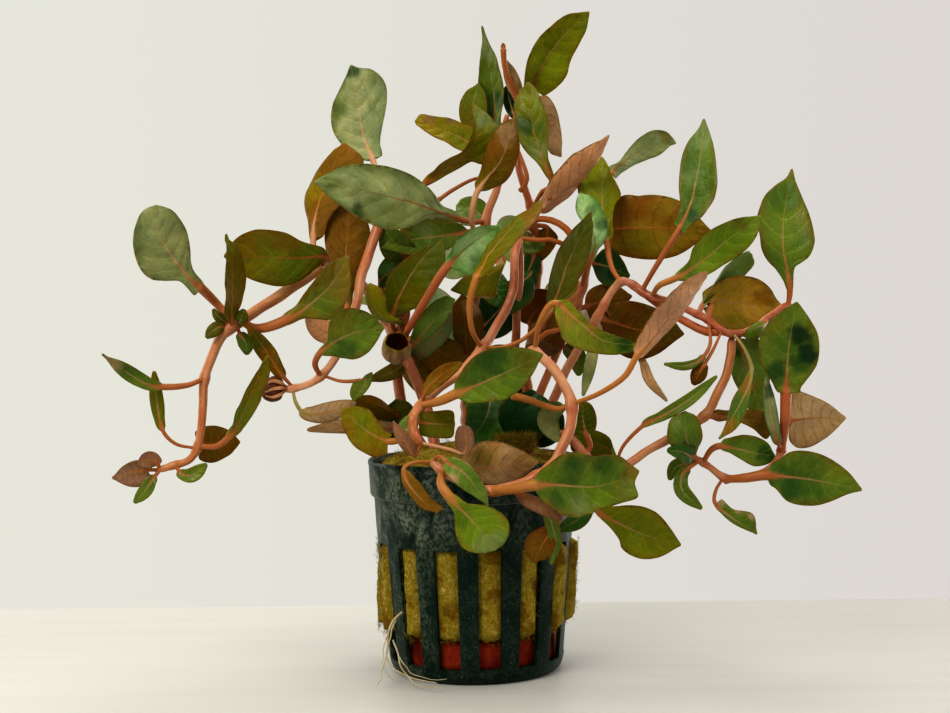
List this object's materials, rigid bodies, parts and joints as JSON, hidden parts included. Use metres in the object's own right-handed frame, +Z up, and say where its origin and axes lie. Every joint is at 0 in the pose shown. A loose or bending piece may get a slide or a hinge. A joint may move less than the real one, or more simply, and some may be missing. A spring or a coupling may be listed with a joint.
{
  "type": "potted marsh seedbox",
  "caption": "Bushy pond plant with pink arching stems and oval green and brown leaves, standing in a black slotted pot filled with yellow rock wool.",
  "frame": {"origin": "centre of the pot's flat underside", "axes": "+Z up, the plant's front faces -Y, +X to the viewer's right"},
  "size_m": [0.1702, 0.0985, 0.1558],
  "materials": {
    "pot_plastic": "worn black plastic with a soft sheen",
    "rock_wool": "fibrous mustard yellow rock wool",
    "clay": "rough red-brown baked clay",
    "root": "fine pale roots",
    "stem": "smooth moist pink-orange stem",
    "leaf_green": "moist green leaf with fine veins",
    "leaf_grey_green": "moist grey-green leaf with fine veins",
    "leaf_olive": "moist olive leaf with fine veins",
    "leaf_brown": "moist brown leaf with fine veins",
    "leaf_pink_brown": "pinkish brown leaf underside with pale veins"
  },
  "bodies": {
    "root": {"pot": "pot_plastic", "rock_wool": "rock_wool", "clay_ring": "clay", "roots": "root", "stem_left_long": "stem", "stem_left_short": "stem", "stem_middle": "stem", "stem_front_loop": "stem", "stem_upper_left": "stem", "stem_top": "stem", "stem_centre_right": "stem", "stem_right_long": "stem", "stem_right_low": "stem", "leaf_left_1": "leaf_grey_green", "leaf_left_2": "leaf_olive", "leaf_left_3": "leaf_olive", "leaf_left_4": "leaf_green", "leaf_left_5": "leaf_brown", "leaf_left_6": "leaf_brown", "leaf_left_7": "leaf_grey_green", "leaf_left_8": "leaf_grey_green", "leaf_left_9": "leaf_green", "leaf_left_10": "leaf_green", "leaf_left_11": "leaf_green", "leaf_left_12": "leaf_brown", "leaf_top_1": "leaf_olive", "leaf_top_2": "leaf_green", "leaf_top_3": "leaf_olive", "leaf_top_4": "leaf_brown", "leaf_top_5": "leaf_olive", "leaf_top_6": "leaf_green", "leaf_top_7": "leaf_pink_brown", "leaf_top_8": "leaf_grey_green", "leaf_top_9": "leaf_olive", "leaf_top_10": "leaf_grey_green", "leaf_middle_1": "leaf_brown", "leaf_middle_2": "leaf_grey_green", "leaf_middle_3": "leaf_olive", "leaf_middle_4": "leaf_green", "leaf_middle_5": "leaf_olive", "leaf_middle_6": "leaf_green", "leaf_front_1": "leaf_green", "leaf_front_2": "leaf_green", "leaf_front_3": "leaf_olive", "leaf_front_4": "leaf_pink_brown", "leaf_front_5": "leaf_olive", "leaf_front_6": "leaf_olive", "leaf_right_1": "leaf_brown", "leaf_right_2": "leaf_green", "leaf_right_3": "leaf_green", "leaf_right_4": "leaf_olive", "leaf_right_5": "leaf_green", "leaf_right_6": "leaf_green", "leaf_right_7": "leaf_pink_brown", "leaf_right_8": "leaf_brown", "leaf_right_9": "leaf_green", "leaf_right_10": "leaf_green", "leaf_right_11": "leaf_pink_brown", "leaf_right_12": "leaf_green", "leaf_right_13": "leaf_green"}
  },
  "joints": []
}
